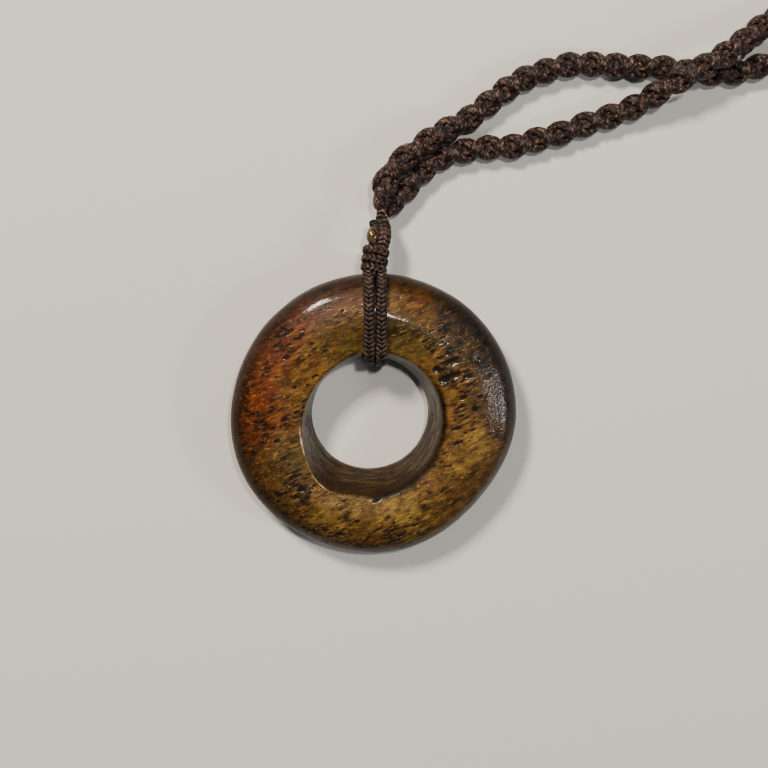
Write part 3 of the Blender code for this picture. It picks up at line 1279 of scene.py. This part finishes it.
    def shaped(self, angle: float, point: Vector, normal: Vector) -> Vector:
        """Where a point of the section lies on the hand-shaped ring, in the ring's own frame.

        Args:
            angle: Which side of the ring, anticlockwise from +X.
            point: Distance from the axis and height.
            normal: The section's outward normal there.

        Returns:
            The point in the ring's own frame.
        """
        share = (point.x - self.mouth_radius) / (self.radius - self.mouth_radius)
        share = min(max(share, 0.0), 1.0)
        out = sum(bump.at(angle) for bump in self.rim_bumps) * share
        radius = point.x + out
        place = Vector((radius * math.cos(angle), radius * math.sin(angle), point.y))
        place.x += self.hole_shift * (1 - share)
        outward = Vector((normal.x * math.cos(angle), normal.x * math.sin(angle), normal.y))
        slow = noise.noise(place / (7 * MM)) + 0.4 * noise.noise(place / (2.4 * MM))
        return place + outward * slow * self.wave


@dataclass
class Braid:
    """A cord braided from eight yarns, four each way, every one of them a tube."""

    width: float = 2.02 * MM
    depth: float = 1.5 * MM
    pitch: float = 2.95 * MM
    yarns_each_way: int = 4
    yarn_width: float = 0.7 * MM
    yarn_depth: float = 0.46 * MM
    dip: float = 0.14 * MM
    ring_step: float = 0.14 * MM
    sides: int = 8

    def add(
        self,
        shape: bmesh.types.BMesh,
        way: Way,
        sideways: Callable[[float], Vector],
        scale: Callable[[float], float] = lambda along: 1.0,
    ) -> None:
        """Adds the cord's yarns to a mesh.

        Args:
            shape: The mesh that they join.
            way: The cord's middle line.
            sideways: For a distance along it, the direction that the cord's width lies in.
            scale: For a distance along it, how thick the cord is there.
        """
        count = max(4, round(way.length / self.ring_step))
        stations = [way.length * j / count for j in range(count + 1)]
        for sense in (1, -1):
            for k in range(self.yarns_each_way):
                spots = [self.yarn_spot(way, sideways, scale, sense, k, s) for s in stations]
                self.add_yarn(shape, stations, spots)

    def yarn_spot(
        self,
        way: Way,
        sideways: Callable[[float], Vector],
        scale: Callable[[float], float],
        sense: int,
        k: int,
        along: float,
    ) -> tuple[Vector, Vector, float]:
        """Where one yarn is at a distance along the cord.

        Args:
            way: The cord's middle line.
            sideways: The direction that the cord's width lies in.
            scale: How thick the cord is.
            sense: 1 for the yarns that turn clockwise and -1 for the others.
            k: Which of the yarns that turn that way.
            along: The distance.

        Returns:
            The yarn's middle, the direction outwards from the cord, and the cord's scale.
        """
        middle, heading = way.at(along)
        side = sideways(along)
        side = (side - heading * side.dot(heading)).normalized()
        front = heading.cross(side)
        turn = sense * math.tau * along / self.pitch + math.tau * k / self.yarns_each_way
        size = scale(along)
        rise = sense * self.dip * math.sin(self.yarns_each_way * turn / 2)
        half_width = (self.width - self.yarn_depth) / 2 - self.dip + rise
        half_depth = (self.depth - self.yarn_depth) / 2 - self.dip + rise
        x, y = math.cos(turn), math.sin(turn)
        outward = (side * x / self.width + front * y / self.depth).normalized()
        return middle + (side * x * half_width + front * y * half_depth) * size, outward, size

    def add_yarn(
        self,
        shape: bmesh.types.BMesh,
        stations: Sequence[float],
        spots: Sequence[tuple[Vector, Vector, float]],
    ) -> None:
        """Adds one yarn as a flat tube.

        Args:
            shape: The mesh that it joins.
            stations: Distances along the cord.
            spots: The yarn's middle, outward direction and scale at each of them.
        """
        places = dict(zip(stations, range(len(spots))))

        def surface(along: float, angle: float) -> Vector:
            """A point on the yarn's skin."""
            j = places[along]
            middle, outward, size = spots[j]
            ahead = spots[min(j + 1, len(spots) - 1)][0] - spots[max(j - 1, 0)][0]
            across = ahead.cross(outward).normalized()
            return middle + size / 2 * (
                across * math.cos(angle) * self.yarn_width
                + outward * math.sin(angle) * self.yarn_depth
            )

        add_tube(shape, stations, self.sides, surface)


@dataclass
class Bail:
    """The doubled cord through the ring's hole, two braided strands side by side."""

    ring: BoneRing
    braid: Braid = field(default_factory=Braid)
    places: tuple[float, float] = (-1.12 * MM, 0.9 * MM)
    off_bone: float = 0.84 * MM
    knot_y: float = 25.3 * MM
    leg_spread: float = 1.5 * MM
    even_step: float = 1.2 * MM
    route_arcs: tuple[int, ...] = (8, 10, 8, 6, 8, 4)

    def route(self, x: float) -> list[Vector]:
        """A strand's middle line round the bone, in the ring's own frame.

        Args:
            x: The strand's place.

        Returns:
            Points from the knot down the front, through the hole and up the back.
        """
        off_middle = abs(x - self.ring.hole_shift) + self.braid.width / 2
        around = []
        for point, normal in self.ring.section(math.pi / 2, self.route_arcs):
            share = (point.x - self.ring.mouth_radius) / (self.ring.radius - self.ring.mouth_radius)
            inner = off_middle * (1 - min(max(share, 0.0), 1.0))
            wall = Vector((math.sqrt(point.x**2 - inner**2), point.y))
            around.append(wall + normal * self.off_bone)
        ends = [Vector((self.knot_y, side * self.leg_spread / 2)) for side in (1, -1)]
        points = around + ends
        hull = [points[i] for i in convex_hull_2d(points)]
        start = min(range(len(hull)), key=lambda i: (hull[i] - ends[0]).length)
        loop = hull[start:] + hull[:start]
        if (loop[1] - ends[1]).length < self.leg_spread / 10:
            loop = [loop[0]] + loop[:0:-1]
        return [Vector((x, p.x, p.y)) for p in loop]

    def build(self, finish: bpy.types.Material) -> list[bpy.types.Object]:
        """Makes both strands.

        Args:
            finish: The braided nylon's material.

        Returns:
            The two pieces.
        """
        made = []
        for side, x in zip(("left", "right"), self.places):
            route = self.route(x)
            # Evened out first, so that the line drawn through the points stays smooth
            drawn = evened(route, round(walked_along(route)[-1] / self.even_step))
            way = Way.through(drawn, 0.2 * MM, 6)
            shape = new_tubes()
            self.braid.add(shape, way, lambda along: Vector((1, 0, 0)))
            bmesh.ops.recalc_face_normals(shape, faces=shape.faces)
            bmesh.ops.transform(shape, matrix=ring_place(), verts=shape.verts)
            made.append(
                finish_piece(
                    f"bail_cord_{side}", shape, finish, (f"bail_strand_{side}",)
                )
            )
        return made


@dataclass
class Knot:
    """The bound knot above the rim: wound rows, a swelling, its melted ends and a neck.

    Routes and beads are in millimetres in the knot's own frame, which has +Y along it. The
    body's route counts from the top of the rows.
    """

    foot: tuple[float, float, float] = (-0.4 * MM, 24.1 * MM, 1.1 * MM)
    lean: float = math.radians(8.8)
    droop: float = math.radians(21)
    rows: int = 3
    steps_in_row: int = 16
    unwound_steps: int = 6
    row_pitch: float = 1.47 * MM
    row_slant: float = 0.12 * MM
    row_width: float = 4.7 * MM
    row_depth: float = 3.9 * MM
    body_length: float = 5.0 * MM
    body_route: tuple[tuple[float, float, float], ...] = (
        (0.7, -1.2, 0.0),
        (0.85, 0.4, 0.2),
        (0.95, 1.8, 0.3),
        (0.75, 3.4, 0.1),
        (0.2, 4.8, 0.0),
    )
    tail_routes: tuple[tuple[tuple[float, float, float], ...], ...] = (
        ((-0.5, 3.6, 0.2), (-0.75, 4.4, 0.6), (-0.85, 5.2, 0.9), (-1.0, 5.9, 1.0)),
        ((0.6, 7.2, 0.1), (0.1, 7.6, 0.4), (-0.5, 7.9, 0.6), (-1.0, 8.0, 0.7)),
    )
    lumps: float = 0.12

    def place(self) -> Matrix:
        """The turn and shift from the knot's own frame, with +Y along it, to where it lies."""
        turn = Matrix.Rotation(-self.lean, 4, "Z") @ Matrix.Rotation(-self.droop, 4, "X")
        return ring_place() @ Matrix.Translation(self.foot) @ turn

    def build(
        self, cord: bpy.types.Material, amber: bpy.types.Material
    ) -> list[bpy.types.Object]:
        """Makes the knot.

        Args:
            cord: The braided nylon's material.
            amber: The melted end's material.

        Returns:
            The knot's pieces.
        """
        shape = new_tubes()
        self.add_rows(shape)
        self.add_body(shape)
        self.add_neck(shape)
        self.add_tails(shape)
        bmesh.ops.recalc_face_normals(shape, faces=shape.faces)
        bmesh.ops.transform(shape, matrix=self.place(), verts=shape.verts)
        made = [finish_piece("knot_cords", shape, cord, ("binding_knot",))]
        for name, spot, size, tint in (
            ("melted_end_large", (-1.0, 6.15, 1.0), (1.0, 1.55, 0.9), amber),
            ("melted_end_small", (-1.05, 8.0, 0.7), (0.75, 0.8, 0.7), cord),
        ):
            bead = bmesh.new()
            bmesh.ops.create_icosphere(bead, subdivisions=4, radius=1.0 * MM)
            for vert in bead.verts:
                vert.co *= 1 + self.lumps * noise.noise(vert.co / (0.9 * MM) + Vector(spot))
            bmesh.ops.scale(bead, vec=size, verts=bead.verts)
            bmesh.ops.translate(bead, vec=Vector(spot) * MM, verts=bead.verts)
            bmesh.ops.transform(bead, matrix=self.place(), verts=bead.verts)
            made.append(finish_piece(name, bead, tint))
        return made

    def add_rows(self, shape: bmesh.types.BMesh) -> None:
        """Adds the three wound rows, one cord that climbs behind the knot.

        Args:
            shape: The knot's mesh, in its own frame.
        """
        braid = Braid(width=1.6 * MM, depth=1.4 * MM, yarn_width=0.7 * MM, yarn_depth=0.4 * MM)
        half_width = (self.row_width - braid.depth) / 2
        half_depth = (self.row_depth - braid.depth) / 2
        drawn = []
        for n in range(self.rows * self.steps_in_row - self.unwound_steps):
            turn = math.tau * n / self.steps_in_row
            row, share = divmod(n / self.steps_in_row, 1.0)
            # Level in front, and up by one row behind
            climb = row + smooth_step((share - 0.5) / 0.5)
            height = (climb + 0.5) * self.row_pitch + self.row_slant * math.cos(turn)
            drawn.append(
                Vector((-half_width * math.cos(turn), height, half_depth * math.sin(turn)))
            )
        way = Way.through(drawn, 0.15 * MM, 8)
        braid.add(shape, way, lambda along: Vector((0, 1, 0)))

    def add_body(self, shape: bmesh.types.BMesh) -> None:
        """Adds the cord that swells beside the melted ends.

        Args:
            shape: The knot's mesh, in its own frame.
        """
        top = Vector((0, self.rows * self.row_pitch, 0))
        way = Way.through([top + Vector(point) * MM for point in self.body_route], 0.2 * MM)

        def swell(along: float) -> float:
            """How thick the body is: it narrows towards the neck."""
            return 0.8 + 0.2 * math.sin(math.pi * min(along / way.length * 0.95 + 0.05, 1.0))

        braid = Braid(width=2.7 * MM, depth=2.6 * MM, yarn_width=1.0 * MM, yarn_depth=0.5 * MM)
        braid.add(shape, way, lambda along: Vector((1, 0, 0)), swell)

    def add_tails(self, shape: bmesh.types.BMesh) -> None:
        """Adds the two short cord tails that end in the melted beads.

        Args:
            shape: The knot's mesh, in its own frame.
        """
        braid = Braid(width=1.6 * MM, depth=1.5 * MM, yarn_width=0.7 * MM, yarn_depth=0.4 * MM)
        for route in self.tail_routes:
            way = Way.through([Vector(point) * MM for point in route], 0.15 * MM)
            braid.add(shape, way, lambda along: Vector((0, 0, 1)))

    def add_neck(self, shape: bmesh.types.BMesh) -> None:
        """Adds the short neck that the plaited cord leaves from.

        Args:
            shape: The knot's mesh, in its own frame.
        """
        start = self.rows * self.row_pitch + self.body_length - 1.0 * MM
        drawn = [Vector((0, start + step * 0.5 * MM, 0)) for step in range(6)]
        braid = Braid(width=1.8 * MM, depth=1.7 * MM, yarn_width=0.75 * MM)
        braid.add(shape, Way.through(drawn, 0.2 * MM), lambda along: Vector((1, 0, 0)))


@dataclass
class NeckCord:
    """The neck cord: one round plait of four braided cords, wound up where the picture ends."""

    diameter: float = 4.1 * MM
    half_turn: float = 3.95 * MM
    middle_radius: float = 0.92 * MM
    weave: float = 0.56 * MM
    dwell: float = 0.5
    strand_depth: float = 1.25 * MM
    strand_width: float = 2.15 * MM
    fine_step: float = 0.2 * MM
    coarse_step: float = 0.75 * MM
    fine_sides: int = 18
    coarse_sides: int = 8
    stitch_relief: float = 0.12 * MM
    coil_centre: tuple[float, float] = (104.7, 14.5)
    coil_outer: float = 24.05 * MM
    coil_inner: float = 19.95 * MM
    coil_low: float = 2.1 * MM
    coil_high: float = 6.1 * MM
    coil_turn: int = 1360
    coil_step: int = 8
    coil_first_move: int = 310
    coil_move_every: int = 345
    coil_move: int = 50
    coil_leaves: tuple[tuple[float, float, float], ...] = ((-9.1, 24.6, 6.1), (-14.1, 23.4, 5.4))
    opening_length: float = 3.2 * MM
    opening_start: float = 0.45
    narrow_length: float = 2.4 * MM
    narrow_scale: float = 0.8
    first_swellings: tuple[int, ...] = (2, 4, 5, 6, 7, 8, 9, 10, 11, 12, 13, 14, 15, 16)
    second_swellings: tuple[int, ...] = tuple(range(2, 18))
    # Millimetres from the knot's tip, with heights from the floor: the same route as the frame's
    first_route: tuple[tuple[float, float, float], ...] = (
        (0.0, 0.0, 4.6),
        (-0.4, 1.0, 5.1),
        (0.3, 3.9, 4.6),
        (1.6, 6.2, 4.1),
        (3.6, 8.0, 3.9),
        (7.5, 10.8, 3.7),
        (10.6, 12.6, 3.0),
        (14.4, 14.5, 2.2),
        (17.4, 16.8, 2.1),
        (20.4, 19.1, 2.1),
        (23.4, 20.9, 2.1),
        (26.8, 22.1, 2.1),
        (30.6, 23.1, 2.1),
        (34.5, 23.2, 2.1),
        (38.4, 23.0, 2.1),
        (42.2, 22.8, 2.1),
        (46.3, 22.6, 2.1),
        (50.8, 21.9, 2.1),
        (55.7, 21.7, 2.1),
        (59.1, 22.0, 2.1),
        (63.8, 23.4, 2.1),
        (69.0, 24.4, 2.1),
        (74.3, 23.4, 2.1),
        (77.4, 21.2, 2.1),
    )
    second_route: tuple[tuple[float, float, float], ...] = (
        (0.5, -0.9, 3.6),
        (1.8, 0.4, 2.7),
        (3.9, 2.9, 2.1),
        (6.6, 5.8, 2.1),
        (9.7, 8.0, 2.1),
        (13.6, 9.1, 2.1),
        (17.5, 9.6, 2.1),
        (21.5, 9.8, 2.1),
        (25.4, 10.9, 2.1),
        (29.3, 11.9, 2.1),
        (33.4, 13.4, 2.1),
        (37.5, 14.7, 2.1),
        (41.3, 16.2, 2.7),
        (44.6, 18.2, 4.1),
        (48.3, 20.6, 5.8),
        (52.2, 22.8, 6.25),
        (55.6, 24.7, 5.8),
        (58.8, 26.8, 4.5),
        (63.4, 30.1, 2.7),
        (69.2, 33.4, 2.1),
        (75.2, 35.7, 2.1),
        (82.0, 36.8, 3.2),
        (86.4, 37.1, 4.3),
    )

    def winding(self) -> list[Vector]:
        """The stretch that is wound up, from where the first route ends to the second's end.

        Returns:
            Points of the row frame.
        """
        middle = Vector((*self.coil_centre, 0)) * MM + Vector((KNOT_TIP.x, KNOT_TIP.y, 0))
        points = []
        for travel in range(self.coil_step, self.coil_turn + 1, self.coil_step):
            turn = math.radians(180 + travel)
            # The cord goes inwards, then up, then outwards, once in each turn
            inwards, up, outwards = (
                smooth_step(
                    (travel - self.coil_first_move - n * self.coil_move_every) / self.coil_move
                )
                for n in range(3)
            )
            radius = self.coil_outer + (self.coil_inner - self.coil_outer) * (inwards - outwards)
            height = self.coil_low + (self.coil_high - self.coil_low) * up
            points.append(
                middle + Vector((radius * math.cos(turn), radius * math.sin(turn), height))
            )
        return points + [middle + Vector(point) * MM for point in self.coil_leaves]

    def drawn(self) -> tuple[list[Vector], dict[int, int]]:
        """The whole cord's points.

        Returns:
            The points, and for those that are the middle of a swelling in the photograph, how
            many half turns of the plait come before them, counted from the nearer end.
        """
        low = Vector((KNOT_TIP.x, KNOT_TIP.y, 0))
        first = [low + Vector(p) * MM for p in self.first_route]
        second = [low + Vector(p) * MM for p in self.second_route]
        points = first + self.winding() + second[::-1]
        counts = {n: i for i, n in enumerate(self.first_swellings)}
        for i, n in enumerate(self.second_swellings):
            counts[len(points) - 1 - n] = -1 - i
        return points, counts

    def phases(self, way: Way, counts: dict[int, int]) -> list[tuple[float, float]]:
        """How far the plait has turned at places along the cord.

        Args:
            way: The cord's middle line.
            counts: Half turns at the drawn points that are swellings.

        Returns:
            Pairs of a distance along the cord and the half turns before it.
        """
        known = sorted((way.marks[n], count) for n, count in counts.items())
        head = [pair for pair in known if pair[1] >= 0]
        tail = [pair for pair in known if pair[1] < 0]
        between = round((tail[0][0] - head[-1][0]) / self.half_turn)
        shift = head[-1][1] + between - tail[0][1]
        pairs = head + [(along, count + shift) for along, count in tail]
        start = (0.0, pairs[0][1] - pairs[0][0] / self.half_turn)
        end = (way.length, pairs[-1][1] + (way.length - pairs[-1][0]) / self.half_turn)
        return [start, *pairs, end]

    def build(self, finish: bpy.types.Material) -> tuple[bpy.types.Object, Way]:
        """Makes the neck cord.

        Args:
            finish: The braided nylon's material.

        Returns:
            The finished piece and its middle line.
        """
        points, counts = self.drawn()
        way = Way.through(points, 0.5 * MM)
        phases = self.phases(way, counts)
        stations = self.stations(way)
        shape = new_tubes()
        for strand in range(4):
            for part, sides in stations:
                self.add_strand(shape, way, phases, strand, part, sides)
        # The table flattens the cord a little where it lies on it
        for vert in shape.verts:
            vert.co.z = max(vert.co.z, 0.0)
        bmesh.ops.recalc_face_normals(shape, faces=shape.faces)
        LOG.info("neck cord %.4f m", way.length)
        piece = finish_piece(
            "neck_cord_plaited",
            shape,
            finish,
            ("neck_cord_first_plait", "neck_cord_second_plait", "neck_cord_coil"),
        )
        return piece, way

    def stations(self, way: Way) -> list[tuple[list[float], int]]:
        """Where the strands' rings are: close where the photograph shows the cord.

        Args:
            way: The cord's middle line.

        Returns:
            For each of the cord's three stretches, the distances and the number of sides.
        """
        first_end = way.marks[len(self.first_route) - 2]
        second_start = way.marks[-(len(self.second_route) - 2)]
        made = []
        for start, end, step, sides in (
            (0.0, first_end, self.fine_step, self.fine_sides),
            (first_end, second_start, self.coarse_step, self.coarse_sides),
            (second_start, way.length, self.fine_step, self.fine_sides),
        ):
            count = round((end - start) / step)
            made.append(([start + (end - start) * j / count for j in range(count + 1)], sides))
        return made

    def add_strand(
        self,
        shape: bmesh.types.BMesh,
        way: Way,
        phases: Sequence[tuple[float, float]],
        strand: int,
        stations: Sequence[float],
        sides: int,
    ) -> None:
        """Adds a stretch of one of the plait's four strands.

        Args:
            shape: The cord's mesh.
            way: The cord's middle line.
            phases: How far the plait has turned along it.
            strand: Which strand, 0 to 3. Odd ones turn the other way.
            stations: Distances along the cord for its rings.
            sides: The number of faces round it.
        """
        spots = {}
        reach = 0.15 * MM
        height = self.stitch_relief if sides == self.fine_sides else 0.0
        for along in stations:
            here, outward, size = self.spot(way, phases, strand, along)
            ahead, _, _ = self.spot(way, phases, strand, min(along + reach, way.length))
            behind, _, _ = self.spot(way, phases, strand, max(along - reach, 0.0))
            heading = (ahead - behind).normalized()
            across = heading.cross(outward).normalized()
            spots[along] = (here, across.cross(heading).normalized(), across, size)

        def surface(along: float, angle: float) -> Vector:
            """A point on the strand's skin, with its stitches in relief."""
            middle, outward, across, size = spots[along]
            spread = angle / math.tau * STITCH_COLUMNS
            lean = abs((spread + 1) % 2 - 1)
            ridge = math.sin(math.pi * ((along / STITCH_PITCH + lean) % 1.0))
            swell = math.sin(math.pi * (spread % 1.0))
            # A stitch swells at its middle, and the gaps lie under the strand's plain skin
            relief = height * (ridge * (0.35 + 0.65 * swell) - 0.6)
            half_width = self.strand_width / 2 * size + relief
            half_depth = self.strand_depth / 2 * size + relief
            return (
                middle
                + across * math.cos(angle) * half_width
                + outward * math.sin(angle) * half_depth
            )

        add_tube(shape, stations, sides, surface)

    def spot(
        self,
        way: Way,
        phases: Sequence[tuple[float, float]],
        strand: int,
        along: float,
    ) -> tuple[Vector, Vector, float]:
        """Where a strand's middle is.

        Args:
            way: The cord's middle line.
            phases: How far the plait has turned along it.
            strand: Which strand, 0 to 3.
            along: The distance along the cord.

        Returns:
            The strand's middle, the direction outwards from the cord, and its scale.
        """
        middle, heading = way.at(along)
        side = Vector((0, 0, 1)).cross(heading).normalized()
        upward = heading.cross(side)
        n = next(i for i in range(1, len(phases)) if along <= phases[i][0] + 1e-9)
        (s0, c0), (s1, c1) = phases[n - 1], phases[n]
        count = c0 + (c1 - c0) * (along - s0) / (s1 - s0)
        # The strands stay at the plait's sides for most of a half turn, then cross quickly
        turned = math.pi * count - self.dwell / 2 * math.sin(math.tau * count)
        sense = -1 if strand % 2 else 1
        turn = sense * turned + math.pi * (strand // 2)
        from_end = min(along, way.length - along)
        opened = smooth_step(from_end / self.opening_length)
        opening = self.opening_start + (1 - self.opening_start) * opened
        radius = (self.middle_radius + sense * self.weave * math.cos(2 * turn)) * opening
        outward = side * math.cos(turn) + upward * math.sin(turn)
        widened = smooth_step(from_end / self.narrow_length)
        size = self.narrow_scale + (1 - self.narrow_scale) * widened
        return middle + outward * radius, outward, size


def main() -> None:
    """Builds the camera, the cords and the ring in order."""
    logging.basicConfig(level=logging.INFO, format="%(name)s: %(message)s")
    Studio().build()
    yarns = BraidedNylon(
        "nylon_cord_braided_yarns",
        Stitch.MODELLED,
        ground="0e0706",
        lit="543934",
        glint_range=(0.2, 0.42),
    ).build()
    drawn = BraidedNylon("nylon_cord_braided", Stitch.DRAWN).build()
    ring = BoneRing()
    neck_cord, way = NeckCord().build(drawn)
    bail = Bail(ring).build(yarns)
    knot = Knot().build(yarns, MeltedNylon().build())
    [tuple(point) for point in way.points]
    ring.build(StainedBone().build())


if __name__ == "__main__":
    main()
